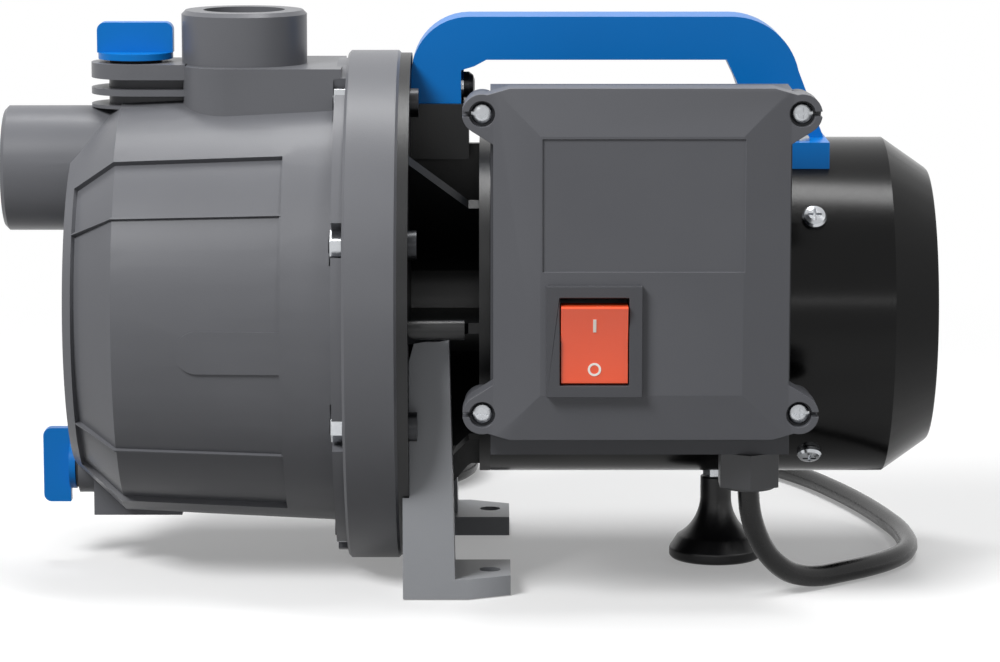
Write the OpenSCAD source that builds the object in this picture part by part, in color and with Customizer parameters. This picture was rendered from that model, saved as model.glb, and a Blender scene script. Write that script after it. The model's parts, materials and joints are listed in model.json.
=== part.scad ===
// Garden jet transfer pump: plastic pump casing, bracket-mounted electric motor, switch box and lead.
// +X runs along the shaft from the pump to the motor, -Y is the switch side and +Z is up.
// The origin is on the floor, midway between the two foot bolt holes.

/* [Overall] */
// Height of the shaft above the floor
shaft_h = 100; // [99:1:125]
// Length of the pump casing from its end wall to the bracket joint
casing_len = 125; // [120:1:160]
// Length of the motor shell
shell_len = 130; // [130:1:170]
// Outer radius of the motor shell
motor_r = 64.5; // [64.5:0.5:74]

/* [Pump casing] */
// Radius of the casing barrel at its closed end
barrel_r0 = 79.5; // [78:0.5:81]
// Radius of the casing barrel at the flange
barrel_r1 = 83.5; // [82:0.5:84]
// Wall thickness of the casing
casing_wall = 4.5; // [3.5:0.5:5.5]
// Radius of the casing flange
flange_r = 98; // [97:0.5:99]
// Thickness of the casing flange
flange_t = 20; // [16:1:22]
// Outer radius of the suction and discharge ports
port_r = 24; // [21:0.5:26]
// Radius of the thread bore in both ports
port_bore_r = 15.6; // [13.5:0.1:17]
// Depth of the thread bore in both ports
port_bore_l = 18; // [14:1:20]
// Height of the suction port above the shaft
suction_up = 53; // [51:1:54]
// Distance of the discharge port from the bracket joint
discharge_back = 60; // [57:1:63]
// Number of bolts round the bracket joint
bolt_n = 8; // [6:1:8]
// Pitch circle radius of the joint bolts
bolt_pcr = 88; // [87.5:0.5:89]
// Radius of the joint bolts
bolt_r = 3; // [2.5:0.25:3.5]

/* [Plugs] */
// Radius of the filler bore
filler_bore_r = 7.5; // [6.5:0.5:8]
// Radius of the drain bore
drain_bore_r = 6.5; // [5:0.5:7]
// Radial clearance of the plug threads
thread_gap = 0.25; // [0.2:0.05:0.4]
// Width of the plug wings
wing_w = 29; // [24:1:30]

/* [Hydraulics] */
// Radius of the impeller
impeller_r = 56; // [50:1:57]
// Number of impeller vanes
vane_n = 6; // [5:1:8]
// Radius of the venturi throat
throat_r = 6.5; // [5:0.5:8]

/* [Drive] */
// Radius of the shaft in the rotor
shaft_r = 10; // [9:0.5:10.5]
// Radius of the bearing seats on the shaft
seat_r = 7.5; // [6.5:0.25:8]
// Outer radius of the bearings
bearing_r = 17.5; // [17.5:0.5:19]
// Width of the bearings
bearing_w = 11; // [10:0.5:11]
// Number of balls in a bearing
ball_n = 8; // [6:1:8]
// Radius of the rotor core
rotor_r = 34.5; // [30:0.5:34.5]
// Number of cooling fan blades
fan_n = 9; // [7:1:12]

/* [Stand and handle] */
// Distance between the two foot bolt holes
foot_pitch = 115; // [108:1:118]
// Radius of the foot bolt holes
foot_hole_r = 4; // [3:0.5:5]
// Thickness of the foot pads
foot_t = 7.5; // [6:0.5:9]
// Height of the handle bar above the shaft, to its top
handle_up = 112; // [110:1:120]
// Width of the handle bar
handle_w = 26; // [22:1:28]

/* [Switch box] */
// Width of the box cover
box_w = 107; // [104:1:112]
// Height of the box cover
box_h = 128; // [126:1:134]
// Wall thickness of the box
box_wall = 3; // [2:0.5:3.5]
// Tilt of the rocker to each side of its middle
rocker_tilt = 7; // [5:1:8]

/* [Lead] */
// Diameter of the lead
cord_d = 8; // [7:0.5:8]

/* [Hidden] */
$fn = 96;
eps = 0.01;
// Clearance between pieces that are pressed or screwed together
fit_gap = 0.02;

// Stations along the shaft
joint_x = -34;
end_x = joint_x - casing_len;
strip_t = 4;
strip_r = flange_r - 3;
shoulder_x = end_x + 19;
end_r = barrel_r0 - 17.5;
strip_x = joint_x - flange_t - strip_t;
plate_t = 4;
plate_x = joint_x + plate_t;
plate_r = flange_r - 1;
bolt_a0 = 180 / bolt_n;
bolt_gap = 0.3;

// Ports and the filler head
suction_z = shaft_h + suction_up;
suction_x = end_x - 27;
discharge_x = joint_x - discharge_back;
head_z0 = shaft_h + 77;
head_z1 = shaft_h + 93.5;
discharge_z = shaft_h + 113.8;
filler_x = end_x + 23.3;
slab_r = 17;
slab_z0 = shaft_h + 88.2;
slab_z1 = shaft_h + 94;
channel_r = 13;
neck_r = 10.3;
head_x0 = filler_x + 19;
head_y = 30;
head_corner_r = 18;
drain_z = shaft_h - 63;
drain_x = end_x - 0.5;
drain_seat_r = 11;

// Parts turned about the shaft: x grows to the motor, profiles are [radius, x]
module on_axis(x = 0) {
    translate([x, 0, shaft_h]) rotate([0, 90, 0]) children();
}
module turned(profile) {
    on_axis() rotate_extrude() polygon(profile);
}
module ring(x0, x1, r_in, r_out) {
    turned([[r_in, x0], [r_out, x0], [r_out, x1], [r_in, x1]]);
}
module disc(x0, x1, r) {
    on_axis(x0) cylinder(h = x1 - x0, r = r);
}
// Children placed round the shaft, the first at angle a0 from straight down
module around(n, a0 = 0) {
    for (i = [0 : n - 1]) {
        on_axis() rotate([0, 0, a0 + i * 360 / n]) children();
    }
}
module box(lo, hi) {
    translate(lo) cube(hi - lo);
}
module tube_z(z0, z1, r_in, r_out) {
    translate([0, 0, z0]) difference() {
        cylinder(h = z1 - z0, r = r_out);
        translate([0, 0, -1]) cylinder(h = z1 - z0 + 2, r = r_in);
    }
}
// Rectangle with rounded corners, between two corners
module round_rect(lo, hi, r) {
    hull() {
        for (x = [lo[0] + r, hi[0] - r], y = [lo[1] + r, hi[1] - r]) {
            translate([x, y]) circle(r = r, $fn = 32);
        }
    }
}
// A solid whose outline is drawn in X and Z, between two Y values
module slab_y(y0, y1) {
    translate([0, y1, 0]) rotate([90, 0, 0]) linear_extrude(y1 - y0) children();
}

// ---- Pump casing ----
cavity_r0 = barrel_r0 - casing_wall;
cavity_r1 = barrel_r1 - casing_wall;
plate_seat_r = 83;
plate_seat_d = 3.25;
chamber_x = end_x + 17;
chamber_r = 17;
socket_r = 17;
socket_x1 = end_x + 41;
socket_l = 10;
panel_x1 = strip_x - 19;
panel_d = 1.2;
oring_r = 80.7;
oring_w = 2.6;
oring_t = 2.2;
nut_r = 5.8;
nut_pocket = 6.6;

// Outline of the casing, [radius, x], lowered by d over the panel
function barrel_r(x) = barrel_r0 + (barrel_r1 - barrel_r0) * (x - shoulder_x) / (strip_x - shoulder_x);

// Plan of the block under the discharge port, with its two corners next to the filler rounded
module head_plan() {
    inner_y = head_y - head_corner_r;
    corner_x = head_x0 + head_corner_r;
    for (s = [-1, 1]) {
        translate([corner_x, s * inner_y]) circle(r = head_corner_r);
    }
    translate([head_x0, -inner_y]) square([head_corner_r, 2 * inner_y]);
    translate([corner_x, -head_y]) square([strip_x + 2 - corner_x, 2 * head_y]);
}
module casing_outside() {
    turned([
        [0, end_x], [end_r, end_x], [barrel_r0, shoulder_x], [barrel_r1, strip_x],
        [strip_r, strip_x], [strip_r, strip_x + strip_t], [flange_r - 1, strip_x + strip_t],
        [flange_r, strip_x + strip_t + 1], [flange_r, joint_x - 1], [flange_r - 1, joint_x],
        [0, joint_x]
    ]);
    // suction port
    translate([suction_x, 0, suction_z]) rotate([0, 90, 0]) {
        rotate_extrude() polygon([
            [0, 0], [port_r - 1.5, 0], [port_r, 1.5], [port_r, shoulder_x - suction_x], [0, shoulder_x - suction_x]
        ]);
    }
    // filler head: block, slab, neck and fins
    translate([0, 0, shaft_h + 60]) linear_extrude(head_z1 - shaft_h - 60) head_plan();
    box([filler_x, -neck_r, shaft_h + 60], [head_x0 + 1, neck_r, slab_z0 + 1]);
    translate([filler_x, 0, 0]) {
        translate([0, 0, slab_z0]) cylinder(h = slab_z1 - slab_z0, r = slab_r);
        translate([0, 0, shaft_h + 60]) cylinder(h = slab_z0 - shaft_h - 60, r = neck_r);
        translate([0, 0, shaft_h + 82]) cylinder(h = 2.4, r = slab_r);
        translate([0, 0, shaft_h + 77]) cylinder(h = 1.2, r = slab_r);
    }
    for (z = [[slab_z0, slab_z1], [shaft_h + 82, shaft_h + 84.4], [shaft_h + 77, shaft_h + 78.2]]) {
        box([filler_x, -slab_r, z[0]], [filler_x + 20, slab_r, z[1]]);
    }
    // discharge port
    translate([discharge_x, 0, head_z1 - 1]) rotate_extrude() polygon([
        [0, 0], [port_r, 0], [port_r, discharge_z - head_z1 - 0.5],
        [port_r - 1.5, discharge_z - head_z1 + 1], [0, discharge_z - head_z1 + 1]
    ]);
    // drain boss and the keel that carries it
    box([end_x + 6, -14, shaft_h - barrel_r0 - 1], [end_x + 40, 14, drain_z + 8]);
    translate([drain_x, 0, drain_z]) rotate([0, 90, 0]) cylinder(h = 20, r = drain_seat_r);
}
// A band of the shallow panel, between two elevations on the switch side
module panel_band(e0, e1, d, x1 = panel_x1) {
    on_axis() rotate([0, 0, -90 - e1]) rotate_extrude(angle = e1 - e0) polygon([
        [barrel_r(x1) - d, x1], [barrel_r(x1) + 3, x1],
        [barrel_r0 + 3, shoulder_x], [end_r + 6, end_x + 1], [end_r + 1.5, end_x + 4.5],
        [barrel_r0 - d, shoulder_x + 0.5]
    ]);
}
// Shallow panel in three bands, with a raised tongue that is open to the barrel
module casing_panel() {
    tongue_z = shaft_h - 6.5;
    tongue_w = 8;
    tongue_d = 0.4;
    panel_band(-62, -35.5, panel_d + 0.9);
    panel_band(32, 50, panel_d + 0.9);
    panel_band(-35, 31.5, tongue_d);
    difference() {
        panel_band(-35, 31.5, panel_d, panel_x1 - 0.6);
        translate([0, -60, 0]) rotate([90, 0, 0]) linear_extrude(40) union() {
            translate([panel_x1 - 31, tongue_z]) circle(r = tongue_w);
            translate([panel_x1 - 31, tongue_z - tongue_w]) square([32, 2 * tongue_w]);
        }
    }
}
module casing_inside() {
    difference() {
        turned([
            [0, end_x + casing_wall + 0.5], [end_r - 2, end_x + casing_wall + 0.5],
            [cavity_r0, shoulder_x + 1], [cavity_r1, strip_x], [cavity_r1, joint_x + 1], [0, joint_x + 1]
        ]);
        // suction pipe, chamber and the socket of the ejector stay
        translate([end_x, 0, suction_z]) rotate([0, 90, 0]) cylinder(h = 18, r = port_r - 5);
        translate([chamber_x, 0, shaft_h - 20]) cylinder(h = suction_up + 20 + 12, r = chamber_r);
        disc(end_x + 4, socket_x1, socket_r + 4);
    }
}
module casing_bores() {
    // suction thread, pipe and chamber
    translate([suction_x - 1, 0, suction_z]) rotate([0, 90, 0]) cylinder(h = port_bore_l + 1, r = port_bore_r);
    translate([suction_x - 1, 0, suction_z]) rotate([0, 90, 0]) {
        cylinder(h = chamber_x - suction_x + 1, r = channel_r);
    }
    translate([chamber_x, 0, shaft_h - 13]) cylinder(h = suction_up + 13, r = channel_r);
    disc(chamber_x, socket_x1 + 1, socket_r - 4);
    disc(socket_x1 - socket_l, socket_x1 + 1, socket_r);
    // blind seat of the nozzle
    disc(end_x + 4.5, end_x + 10, 5.1);
    // discharge thread and the way up to it
    translate([discharge_x, 0, discharge_z - port_bore_l]) cylinder(h = port_bore_l + 1, r = port_bore_r);
    translate([discharge_x, 0, shaft_h + 70]) cylinder(h = discharge_z - shaft_h - 70, r = channel_r);
    // filler and drain bores
    translate([filler_x, 0, shaft_h + 68]) cylinder(h = 30, r = filler_bore_r);
    translate([drain_x - 1, 0, drain_z]) rotate([0, 90, 0]) cylinder(h = 24, r = drain_bore_r);
    // seat of the seal plate and the groove of the O-ring
    disc(joint_x - plate_seat_d, joint_x + 1, plate_seat_r);
    ring(joint_x - plate_seat_d - oring_t, joint_x - plate_seat_d + 1, oring_r - oring_w / 2 - 0.1, oring_r + oring_w / 2 + 0.1);
    // joint bolts and nut pockets
    around(bolt_n, bolt_a0) {
        translate([bolt_pcr, 0, strip_x - 1]) cylinder(h = joint_x - strip_x + 2, r = bolt_r + bolt_gap);
        translate([bolt_pcr - nut_pocket, -nut_pocket, strip_x - 1]) cube([30, 2 * nut_pocket, strip_t + 1]);
    }
}
module pump_casing() {
    color("#6b6c70") difference() {
        casing_outside();
        casing_panel();
        casing_inside();
        casing_bores();
    }
}

// ---- Plugs ----
plug_pitch = 2;
plug_oring_t = 1.2;
plug_disc_t = 2.5;
drain_disc_r = 9.5;
// A wing plug standing on z = 0 with its thread below
module wing_plug(bore_r, shank_l, disc_r, wing_h, wing_t) {
    translate([0, 0, -shank_l]) cylinder(h = shank_l + plug_oring_t + 0.1, r = bore_r - thread_gap);
    translate([0, 0, plug_oring_t]) cylinder(h = plug_disc_t, r = disc_r);
    translate([0, wing_t / 2, plug_oring_t + plug_disc_t - 0.1]) rotate([90, 0, 0]) linear_extrude(wing_t) {
        round_rect([-wing_w / 2, 0], [wing_w / 2, wing_h], 3);
        translate([-wing_w / 2, 0]) square([wing_w, wing_h / 2]);
    }
}
// Seal ring with flat faces, squeezed between a seat and the plug's disc
module flat_oring(r_mid, w, t) {
    rotate_extrude() translate([r_mid, t / 2]) intersection() {
        circle(d = w, $fn = 32);
        square([w + 1, t], center = true);
    }
}
module on_drain() {
    translate([drain_x, 0, drain_z]) rotate([0, -90, 0]) children();
}
module on_filler() {
    translate([filler_x, 0, slab_z1]) children();
}
module filler_plug() {
    color("#1f78c1") on_filler() wing_plug(filler_bore_r, 10, wing_w / 2 - 0.2, 11.5, 7);
}
module filler_plug_oring() {
    color("#1c1c1e") on_filler() flat_oring(filler_bore_r + 1.6, 1.8, plug_oring_t);
}
module drain_plug() {
    color("#1f78c1") on_drain() wing_plug(drain_bore_r, 8, drain_disc_r, 10.5, 5);
}
module drain_plug_oring() {
    color("#1c1c1e") on_drain() flat_oring(drain_bore_r + 1.6, 1.8, plug_oring_t);
}

// ---- Hydraulics ----
stub_r = 6;
collar_r = 7;
eye_x = strip_x - 3;
diffuser_r = cavity_r1 - 3;
ejector_end_r = 24;
venturi_out_r = 18;
nozzle_r = 5;
tail_gap = 0.1;
imp_front_x = eye_x + 3.5;
imp_back_x = imp_front_x + 8;
module ejector_body() {
    tail_x = socket_x1 - socket_l;
    color("#2c2d30") turned([
        [socket_r - 4, tail_x], [socket_r - tail_gap, tail_x], [socket_r - tail_gap, socket_x1],
        [socket_r + 4, socket_x1], [socket_r + 4, socket_x1 + 3], [socket_r - 4, socket_x1 + 3],
        [socket_r - 4, socket_x1 + 16], [ejector_end_r, eye_x - 2], [ejector_end_r, eye_x],
        [venturi_out_r, eye_x], [throat_r, socket_x1 + 16], [throat_r, socket_x1 + 6]
    ]);
}
module ejector_nozzle() {
    tip_x = socket_x1 + 2;
    color("#b08d3c") difference() {
        turned([
            [0, end_x + 4.5], [nozzle_r, end_x + 4.5], [nozzle_r, tip_x - 12],
            [nozzle_r - 2, tip_x], [0, tip_x]
        ]);
        disc(end_x + 20, tip_x + 1, 1.8);
        translate([end_x + 22, 0, shaft_h - 9]) cylinder(h = 18, r = 1.5);
    }
}
module diffuser() {
    color("#3a3b3f") union() {
        ring(eye_x, eye_x + 3, ejector_end_r + 0.5, diffuser_r);
        ring(eye_x, joint_x - plate_seat_d - 2, diffuser_r - 4, diffuser_r);
        around(vane_n + 2) {
            rotate([0, 0, 12]) translate([impeller_r + 2, 0, eye_x + 2]) rotate([0, 0, 35]) {
                cube([diffuser_r - impeller_r - 4, 2.5, imp_back_x - eye_x]);
            }
        }
        // lip that rests on the ejector's end
        ring(eye_x + 3, eye_x + 3.1, ejector_end_r + 0.5, ejector_end_r + 4);
    }
}
module impeller() {
    hub_r = 10;
    color("#c9a04a") difference() {
        union() {
            ring(imp_front_x, imp_front_x + 2, venturi_out_r, impeller_r);
            ring(imp_front_x - 2, imp_front_x + 2, venturi_out_r, venturi_out_r + 2.5);
            disc(imp_back_x, imp_back_x + 2, impeller_r);
            disc(imp_front_x - 1, imp_back_x + 2, hub_r);
            around(vane_n) {
                translate([0, 0, imp_front_x + 1.9]) linear_extrude(imp_back_x - imp_front_x - 1.8) {
                    intersection() {
                        translate([18, 30]) difference() {
                            circle(r = 38);
                            circle(r = 36);
                        }
                        translate([0, -60]) square([60, 66]);
                        circle(r = impeller_r - 0.5);
                    }
                }
            }
        }
        disc(imp_front_x - 5, imp_back_x + 5, stub_r + fit_gap);
    }
}
stub_x0 = imp_front_x - 1 - 6.5;
module impeller_nut() {
    color("#c8c9cc") difference() {
        on_axis(imp_front_x - 1 - 5) cylinder(h = 5, r = 9.2, $fn = 6);
        disc(imp_front_x - 8, imp_front_x + 1, stub_r);
    }
}

// ---- Shaft seal ----
seal_face_x = joint_x - 7;
module casing_oring() {
    color("#1c1c1e") translate([joint_x - plate_seat_d - oring_t, 0, shaft_h]) rotate([0, 90, 0]) {
        flat_oring(oring_r, oring_w, oring_t);
    }
}
module seal_plate() {
    color("#b9bbbe") difference() {
        union() {
            disc(joint_x - plate_seat_d, joint_x, plate_seat_r - 0.2);
            disc(seal_face_x + 1, joint_x, 16);
        }
        disc(seal_face_x - 1, joint_x - 1.5, 12.5);
        disc(joint_x - 5, joint_x + 1, collar_r + 1.5);
    }
}
module mechanical_seal_seat() {
    color("#e8e4da") ring(seal_face_x, joint_x - 1.5, collar_r + 0.8, 12.5);
}
module mechanical_seal_head() {
    color("#2a2a2c") ring(seal_face_x - 2.7, seal_face_x - 0.1, collar_r, 11.5);
}
module mechanical_seal_spring() {
    spring_x0 = imp_back_x + 2;
    spring_x1 = seal_face_x - 2.7;
    wire = 1;
    turns = 2;
    mean_r = collar_r + 1.4;
    rise = (spring_x1 - spring_x0 - wire) / turns;
    path = [for (i = [0 : 24 * turns]) [
        spring_x0 + wire / 2 + rise * i / 24, mean_r * cos(15 * i), shaft_h + mean_r * sin(15 * i)
    ]];
    color("#c8c9cc") swept(path, wire / 2, 8);
}

// ---- Bracket and its fasteners ----
face_t = 4;
hub_r = bearing_r + 6.5;
hub_x1 = 2 + bearing_w + 1;
spigot_gap = 0.1;
shell_wall = 2;
shell_r = motor_r - shell_wall;
rod_r = 2;
rod_pcr = shell_r - 6;
rib_t = 4;
rib_n = 8;
handle_top = shaft_h + handle_up;
lug_z = handle_top - 33;
handle_bolt_z = lug_z + 6;
foot_in = 40;
foot_out = foot_pitch / 2 + 18;
foot_x1 = 7.7;
leg_x0 = -32.4;
leg_top = shaft_h - 3;
leg_in = 50;
leg_wall = 4;
foot_screw_y = 62;
foot_screw_zs = [shaft_h - 50, shaft_h - 16];
foot_screw_r = 2.5;

module motor_bracket() {
    color("#17181a") difference() {
        union() {
            ring(joint_x, plate_x, 17, plate_r);
            ring(plate_x - eps, -8, 17, hub_r);
            ring(-8, 2, collar_r + 1.5, hub_r);
            ring(2 - eps, hub_x1, bearing_r, hub_r);
            ring(-face_t, 0, hub_r - 1, motor_r);
            ring(-eps, 5, shell_r - 3, shell_r - spigot_gap);
            around(rib_n) rotate([90, 0, 0]) translate([0, 0, -rib_t / 2]) linear_extrude(rib_t) {
                polygon([[hub_r - 1, plate_x - 1], [plate_r - 7, plate_x - 1], [motor_r - 2, -8],
                    [motor_r - 2, -1], [hub_r - 1, -1]]);
            }
            // block under the handle lug
            box([plate_x - 1, -16, shaft_h + 58], [-8, 16, lug_z]);
            // side pins
            for (s = [-1, 1]) {
                translate([plate_x - 1, s * 85, shaft_h + 3]) rotate([0, 90, 0]) cylinder(h = 21.7, r = 3.7);
            }
        }
        around(bolt_n, bolt_a0) translate([bolt_pcr, 0, joint_x - 1]) cylinder(h = plate_t + 2, r = bolt_r + bolt_gap);
        around(4, 30) translate([rod_pcr, 0, -face_t + 0.5]) cylinder(h = face_t + 1, r = rod_r);
        // room for the handle lug and for the legs of the stand
        box([plate_x + eps, -handle_w / 2 - 1, lug_z], [0, handle_w / 2 + 1, shaft_h + plate_r + 5]);
        for (s = [-1, 1]) {
            translate([plate_x + eps, s > 0 ? leg_in - 0.5 : -foot_out - 5, -1]) cube([25, foot_out + 5.5 - leg_in, leg_top + 1.4]);
        }
        translate([joint_x + 0.5, 0, handle_bolt_z]) rotate([0, 90, 0]) cylinder(h = plate_t, r = bolt_r + fit_gap);
        for (s = [-1, 1], z = foot_screw_zs) {
            translate([joint_x + 0.5, s * foot_screw_y, z]) rotate([0, 90, 0]) cylinder(h = plate_t, r = foot_screw_r + fit_gap);
        }
    }
}
// Button head on a shank: z = 0 is under the head, the shank points down
module screw(r, l, head_r, head_h) {
    difference() {
        union() {
            translate([0, 0, -l]) cylinder(h = l + eps, r = r);
            rotate_extrude() polygon([[0, 0], [head_r, 0], [head_r, head_h * 0.45],
                [head_r * 0.85, head_h * 0.8], [head_r * 0.5, head_h], [0, head_h]]);
        }
        for (a = [0, 90]) {
            rotate([0, 0, a]) translate([-head_r * 0.55, -0.5, head_h * 0.45]) cube([head_r * 1.1, 1, head_h]);
        }
    }
}
bolt_head_r = 5.4;
module flange_bolts() {
    color("#232427") around(bolt_n, bolt_a0) translate([bolt_pcr, 0, plate_x]) {
        cylinder(h = 3.2, r = bolt_head_r);
        translate([0, 0, strip_x - plate_x - 1]) cylinder(h = plate_x - strip_x + 1 + eps, r = bolt_r);
    }
}
module flange_nuts() {
    color("#d4d6d8") around(bolt_n, bolt_a0) translate([bolt_pcr, 0, strip_x - 0.5]) difference() {
        cylinder(h = strip_t + 0.5, r = nut_r, $fn = 6);
        translate([0, 0, -1]) cylinder(h = strip_t + 3, r = bolt_r);
    }
}

// ---- Foot stand ----
module foot_side() {
    difference() {
        union() {
            linear_extrude(foot_t) polygon([[leg_x0, foot_in], [foot_x1, foot_in], [foot_x1, foot_out - 7.6],
                [-8, foot_out], [leg_x0, foot_out]]);
            slab_y(leg_in, foot_out) polygon([[leg_x0, 0], [-12.8, 0], [-15.1, leg_top],
                [plate_x + 2.1, leg_top], [plate_x + 0.1, leg_top - 7.4], [leg_x0, leg_top - 7.4]]);
        }
        translate([0, foot_pitch / 2, -1]) cylinder(h = foot_t + 2, r = foot_hole_r);
        box([plate_x + 0.1 + leg_wall, leg_in - 1, foot_t + 3], [-15.1 - leg_wall + 1, foot_out - leg_wall, leg_top - leg_wall]);
        for (z = foot_screw_zs) {
            translate([plate_x - 1, foot_screw_y, z]) rotate([0, 90, 0]) cylinder(h = leg_wall + 3, r = foot_screw_r + 0.1);
        }
    }
}
module foot_stand() {
    color("#808285") difference() {
        union() {
            foot_side();
            mirror([0, 1, 0]) foot_side();
            box([plate_x + 0.1, -leg_in - 1, 0], [-18, leg_in + 1, 6]);
        }
        disc(leg_x0 - 5, plate_x + 0.1, plate_r + 0.4);
        disc(leg_x0 - 5, joint_x + 0.2, flange_r + 0.6);
    }
}
module foot_screws() {
    color("#d4d6d8") for (s = [-1, 1], z = foot_screw_zs) {
        translate([plate_x + 0.1 + leg_wall, s * foot_screw_y, z]) rotate([0, 90, 0]) screw(foot_screw_r, 7, 4.2, 2.6);
    }
}

// ---- Motor ----
stator_x0 = 30;
stator_x1 = stator_x0 + 65;
rear_bearing_x = shell_len - 17;
stator_bore = rotor_r + 0.5;
slot_n = 12;
slot_r = 4.5;
slot_pcr = stator_bore + 9;
shield_screw_a = -128;
shield_screw_x = shell_len - 9;
stud_x = 88;
stud_r = 2.5;
// Children pointing outwards (z) from the shaft at angle a and station x
module radial(a, x) {
    on_axis(x) rotate([0, 0, a]) rotate([0, 90, 0]) children();
}
module motor_shell() {
    color("#0f1012") difference() {
        ring(0, shell_len, shell_r, motor_r);
        for (k = [0 : 3]) {
            radial(shield_screw_a + 90 * k, shield_screw_x) cylinder(h = motor_r + 5, r = 2.1);
        }
        radial(0, stud_x) cylinder(h = motor_r + 5, r = stud_r + 0.1);
        radial(-90, 11) cylinder(h = motor_r + 5, r = 4);
        for (s = [-1, 1]) {
            translate([saddle_x, s * saddle_screw_y, shaft_h + 40]) cylinder(h = 40, r = 2.1);
        }
    }
}
module stator_core() {
    color("#7c7f84") difference() {
        ring(stator_x0, stator_x1, stator_bore, shell_r - spigot_gap);
        around(slot_n) translate([slot_pcr, 0, stator_x0 - 1]) cylinder(h = stator_x1 - stator_x0 + 2, r = slot_r);
        around(4, 30) translate([rod_pcr, 0, stator_x0 - 1]) cylinder(h = stator_x1 - stator_x0 + 2, r = rod_r + 0.3);
    }
}
module stator_windings() {
    color("#b5652c") union() {
        for (x = [stator_x0 - 12, stator_x1 + 0.2]) {
            turned([[slot_pcr - 5, x + 2], [slot_pcr - 3, x], [slot_pcr + 5, x], [slot_pcr + 7, x + 2],
                [slot_pcr + 7, x + 10], [slot_pcr + 5, x + 11.8], [slot_pcr - 3, x + 11.8], [slot_pcr - 5, x + 10]]);
        }
        around(slot_n) translate([slot_pcr, 0, stator_x0 - 1]) cylinder(h = stator_x1 - stator_x0 + 2, r = slot_r - 0.1);
    }
}
module rotor_core() {
    color("#8d9095") turned([[shaft_r + fit_gap, stator_x0], [rotor_r - 6, stator_x0], [rotor_r - 5, stator_x0 + 3],
        [rotor_r, stator_x0 + 3], [rotor_r, stator_x1 - 3], [rotor_r - 5, stator_x1 - 3],
        [rotor_r - 6, stator_x1], [shaft_r + fit_gap, stator_x1]]);
}
fan_bore = 6;
fan_x = shell_len + 3;
module motor_shaft() {
    color("#c8c9cc") turned([
        [0, stub_x0], [stub_r, stub_x0], [stub_r, imp_back_x + 2], [collar_r, imp_back_x + 2],
        [collar_r, 2], [seat_r, 2], [seat_r, 2 + bearing_w], [shaft_r, 2 + bearing_w],
        [shaft_r, rear_bearing_x], [seat_r, rear_bearing_x], [seat_r, rear_bearing_x + bearing_w],
        [fan_bore, rear_bearing_x + bearing_w], [fan_bore, fan_x + 17], [0, fan_x + 17]
    ]);
}
ball_r = 3;
ball_gap = 0.15;
race_r = (seat_r + bearing_r) / 2;
module race_groove(x) {
    on_axis(x + bearing_w / 2) rotate_extrude() translate([race_r, 0]) circle(r = ball_r + ball_gap);
}
module bearing_outer(x) {
    color("#b9bbbe") difference() {
        ring(x, x + bearing_w, race_r + 1.8, bearing_r);
        race_groove(x);
    }
}
module bearing_inner(x) {
    color("#b9bbbe") difference() {
        ring(x, x + bearing_w, seat_r, race_r - 1.8);
        race_groove(x);
    }
}
module bearing_balls(x) {
    color("#d4d6d8") around(ball_n) translate([race_r, 0, x + bearing_w / 2]) sphere(r = ball_r);
}
module front_bearing_outer() { bearing_outer(2); }
module front_bearing_inner() { bearing_inner(2); }
module front_bearing_balls() { bearing_balls(2); }
module rear_bearing_outer() { bearing_outer(rear_bearing_x); }
module rear_bearing_inner() { bearing_inner(rear_bearing_x); }
module rear_bearing_balls() { bearing_balls(rear_bearing_x); }
washer_x = rear_bearing_x + bearing_w;
washer_t = 0.9;
module wave_washer() {
    color("#9a9ca0") ring(washer_x, washer_x + washer_t, race_r + 2, bearing_r - 0.1);
}
module rear_end_shield() {
    rim_x0 = shell_len - 18;
    color("#a7a9ad") difference() {
        union() {
            ring(rim_x0, shell_len - 6, shell_r - 10.5, shell_r - spigot_gap);
            ring(rim_x0 + 4, rim_x0 + 9, hub_r - 1, shell_r - 10);
            ring(rear_bearing_x - 1, washer_x + 1, bearing_r, hub_r);
            ring(washer_x + 1 - eps, washer_x + 3, seat_r + 1, hub_r);
        }
        around(6) translate([(hub_r + shell_r - 10) / 2, 0, rim_x0]) cylinder(h = 12, r = 9);
        around(4, 30) translate([rod_pcr, 0, rim_x0 - 1]) cylinder(h = 16, r = rod_r + 0.1);
        for (k = [0 : 3]) {
            radial(shield_screw_a + 90 * k, shield_screw_x) translate([0, 0, shell_r - 7]) cylinder(h = 10, r = 2);
        }
        for (s = [-1, 1]) {
            translate([saddle_x, s * saddle_screw_y, shaft_h + shell_r - 11]) cylinder(h = 20, r = 2);
        }
    }
}
module shield_screws() {
    color("#d4d6d8") for (k = [0 : 3]) {
        radial(shield_screw_a + 90 * k, shield_screw_x) translate([0, 0, motor_r]) screw(2, 8, 4.6, 3);
    }
}
module tie_rods() {
    color("#9a9ca0") around(4, 30) {
        translate([rod_pcr, 0, shell_len - 6]) {
            cylinder(h = 3, r = 3.4);
            translate([0, 0, 2.5 + face_t + 1 - shell_len - 4]) cylinder(h = shell_len + 1 - face_t, r = rod_r);
        }
    }
}
module cooling_fan() {
    blade_r = shell_r - 11;
    color("#2c2d30") difference() {
        union() {
            disc(fan_x, fan_x + 14, fan_bore + 5);
            disc(fan_x, fan_x + 2, blade_r);
            around(fan_n) translate([fan_bore + 4, -1, fan_x + 1]) cube([blade_r - fan_bore - 4, 2, 13]);
        }
        disc(fan_x - 1, fan_x + 20, fan_bore + fit_gap);
    }
}
cover_x1 = shell_len + 38;
cover_r1 = motor_r - 11.5;
cover_bend = shell_len + 20.8;
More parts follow.
